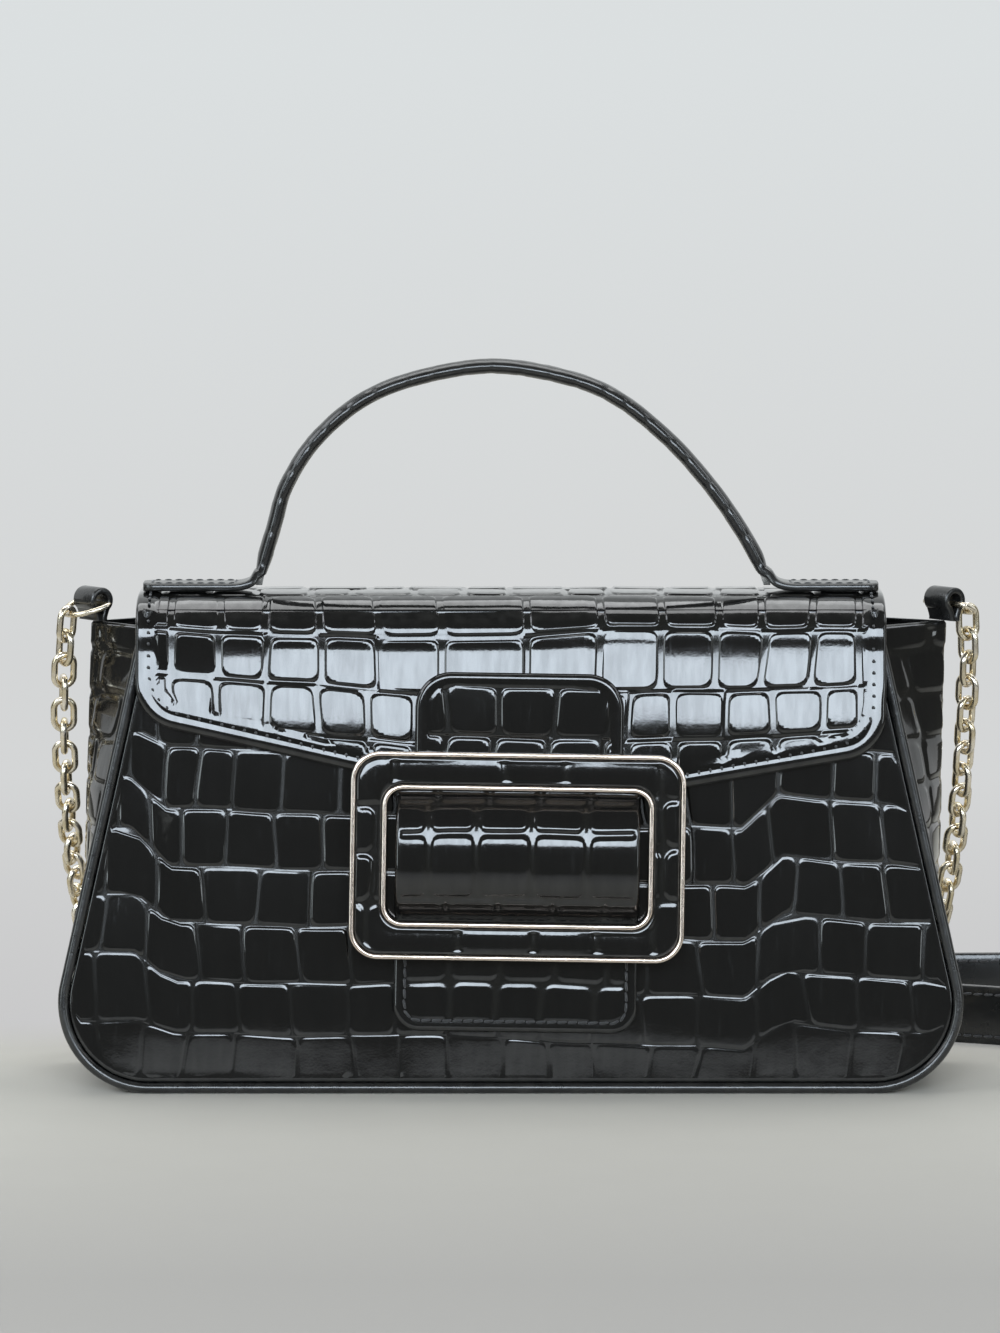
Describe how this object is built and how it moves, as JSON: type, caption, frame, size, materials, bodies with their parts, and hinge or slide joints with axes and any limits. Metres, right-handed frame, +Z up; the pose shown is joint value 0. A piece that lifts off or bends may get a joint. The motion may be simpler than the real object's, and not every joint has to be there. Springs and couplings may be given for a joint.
{
  "type": "top handle bag",
  "caption": "Small structured bag with a flap, a framed buckle over a bulging tongue, an arched top handle and a chain and leather shoulder strap.",
  "frame": {"origin": "centre of the flat base, on the ground", "axes": "+X to the right as seen from the front, +Y to the back, +Z up"},
  "size_m": [0.3695, 0.1688, 0.2015],
  "materials": {
    "embossed_leather": "glossy black leather embossed with a scale pattern",
    "smooth_leather": "glossy black leather",
    "lining": "matt dark woven lining",
    "lining_leather": "matt dark thin leather",
    "board": "pressed fibre board",
    "padding": "cotton wadding and cord",
    "buckle_backing": "black moulded backing",
    "gold_metal": "polished pale gold plating",
    "magnet": "nickel plated"
  },
  "bodies": {
    "bag": {"front_panel": "embossed_leather", "back_panel": "embossed_leather", "gusset_left": "embossed_leather", "gusset_right": "embossed_leather", "gusset_base": "embossed_leather", "front_piping": "smooth_leather", "back_piping": "smooth_leather", "front_stiffener": "board", "back_stiffener": "board", "base_board": "board", "lining": "lining", "flap_back_strip": "embossed_leather", "ring_loop_left": "smooth_leather", "ring_loop_right": "smooth_leather", "front_magnet": "magnet", "d_ring_left": "gold_metal", "d_ring_right": "gold_metal", "chain_left": "gold_metal", "chain_right": "gold_metal", "shoulder_strap": "smooth_leather", "strap_ring_left": "gold_metal", "strap_ring_right": "gold_metal"},
    "flap": {"flap_panel": "embossed_leather", "flap_lining": "lining_leather", "buckle_tab": "embossed_leather", "tongue": "embossed_leather", "tongue_padding": "padding", "tongue_lining": "lining_leather", "tongue_magnet": "magnet", "buckle_frame": "buckle_backing", "buckle_inlay": "embossed_leather", "buckle_outer_rim": "gold_metal", "buckle_inner_rim": "gold_metal", "handle_end_left": "smooth_leather", "handle_end_right": "smooth_leather"},
    "handle": {"handle": "embossed_leather", "handle_core": "padding"}
  },
  "joints": [
    {"name": "flap_hinge", "type": "hinge", "parent": "bag", "child": "flap", "pos_m": [0, 0.01895, 0.13589], "axis": [-1, 0, 0], "range_deg": [0, 120]},
    {"name": "handle_fold", "type": "hinge", "parent": "flap", "child": "handle", "pos_m": [0, 0, 0.14129], "axis": [1, 0, 0], "range_deg": [-60, 60], "stiffness_Nm_per_rad": 0.02}
  ]
}
